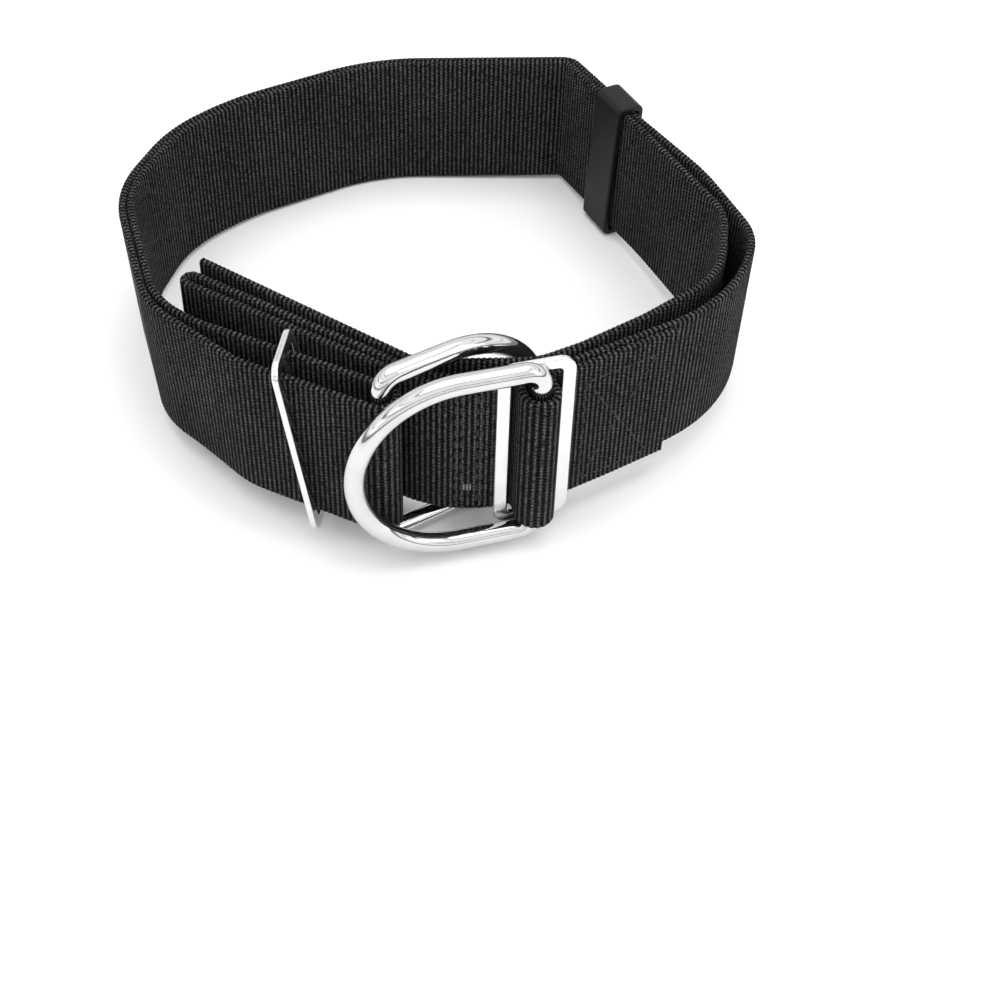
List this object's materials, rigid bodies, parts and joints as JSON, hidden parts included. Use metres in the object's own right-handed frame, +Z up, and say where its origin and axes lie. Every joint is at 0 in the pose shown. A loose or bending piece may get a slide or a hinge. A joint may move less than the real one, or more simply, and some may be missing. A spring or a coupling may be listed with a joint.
{
  "type": "dive weight belt",
  "caption": "Ribbed webbing weight belt, wrapped twice to a closed loop, with two D-rings, two three-bar slides and a rubber keeper.",
  "frame": {"origin": "middle of the footprint, on the surface the belt stands on", "axes": "+X along the longest side, from the left to the right of the belt, +Y from the front with its D-rings to the back, +Z up across the webbing"},
  "size_m": [0.2026, 0.1972, 0.0717],
  "materials": {
    "webbing": "matt ribbed nylon webbing",
    "steel": "polished stainless steel",
    "keeper_rubber": "satin moulded rubber",
    "thread": "matt bonded nylon thread",
    "tack_thread": "matt light grey thread"
  },
  "bodies": {
    "strap": {"left_outer_band": "webbing", "back_outer_band": "webbing", "right_outer_band": "webbing", "sewn_outer_layer": "webbing", "closing_loop_rear": "webbing", "closing_loop_fold": "webbing", "closing_loop_front": "webbing", "front_panel": "webbing", "front_ring_wrap": "webbing", "sewn_flap": "webbing", "rear_ring_outer_side": "webbing", "rear_ring_fold": "webbing", "rear_ring_inner_side": "webbing", "left_inner_band": "webbing", "back_inner_band": "webbing", "right_inner_band": "webbing", "sewn_inner_layer": "webbing", "front_slide": "steel", "box_stitching": "thread", "row_stitching": "thread", "tack_stitching": "tack_thread"},
    "front_d_ring": {"front_d_ring": "steel"},
    "rear_d_ring": {"rear_d_ring": "steel"},
    "rear_slide": {"rear_slide": "steel"},
    "keeper": {"keeper": "keeper_rubber"},
    "free_tail": {"free_tail": "webbing"}
  },
  "joints": [
    {"name": "front_d_ring_swing", "type": "hinge", "parent": "strap", "child": "front_d_ring", "pos_m": [0.03022, -0.0819, 0.03753], "axis": [-0.0177, 0.0565, 0.9982], "range_deg": [0, 180]},
    {"name": "rear_d_ring_swing", "type": "hinge", "parent": "strap", "child": "rear_d_ring", "pos_m": [-0.01435, -0.08332, 0.03451], "axis": [-0.0177, 0.0565, 0.9982], "range_deg": [0, 60]},
    {"name": "rear_slide_shift", "type": "slide", "parent": "strap", "child": "rear_slide", "axis": [-0.8984, 0.4372, -0.0406], "range_m": [-0.009, 0.006]},
    {"name": "keeper_shift", "type": "slide", "parent": "strap", "child": "keeper", "axis": [0.4513, -0.8905, 0.0584], "range_m": [-0.006, 0.006]},
    {"name": "free_tail_bend", "type": "hinge", "parent": "strap", "child": "free_tail", "pos_m": [-0.01641, -0.06015, 0.03377], "axis": [0.0177, -0.0565, -0.9982], "range_deg": [0, 25]}
  ]
}
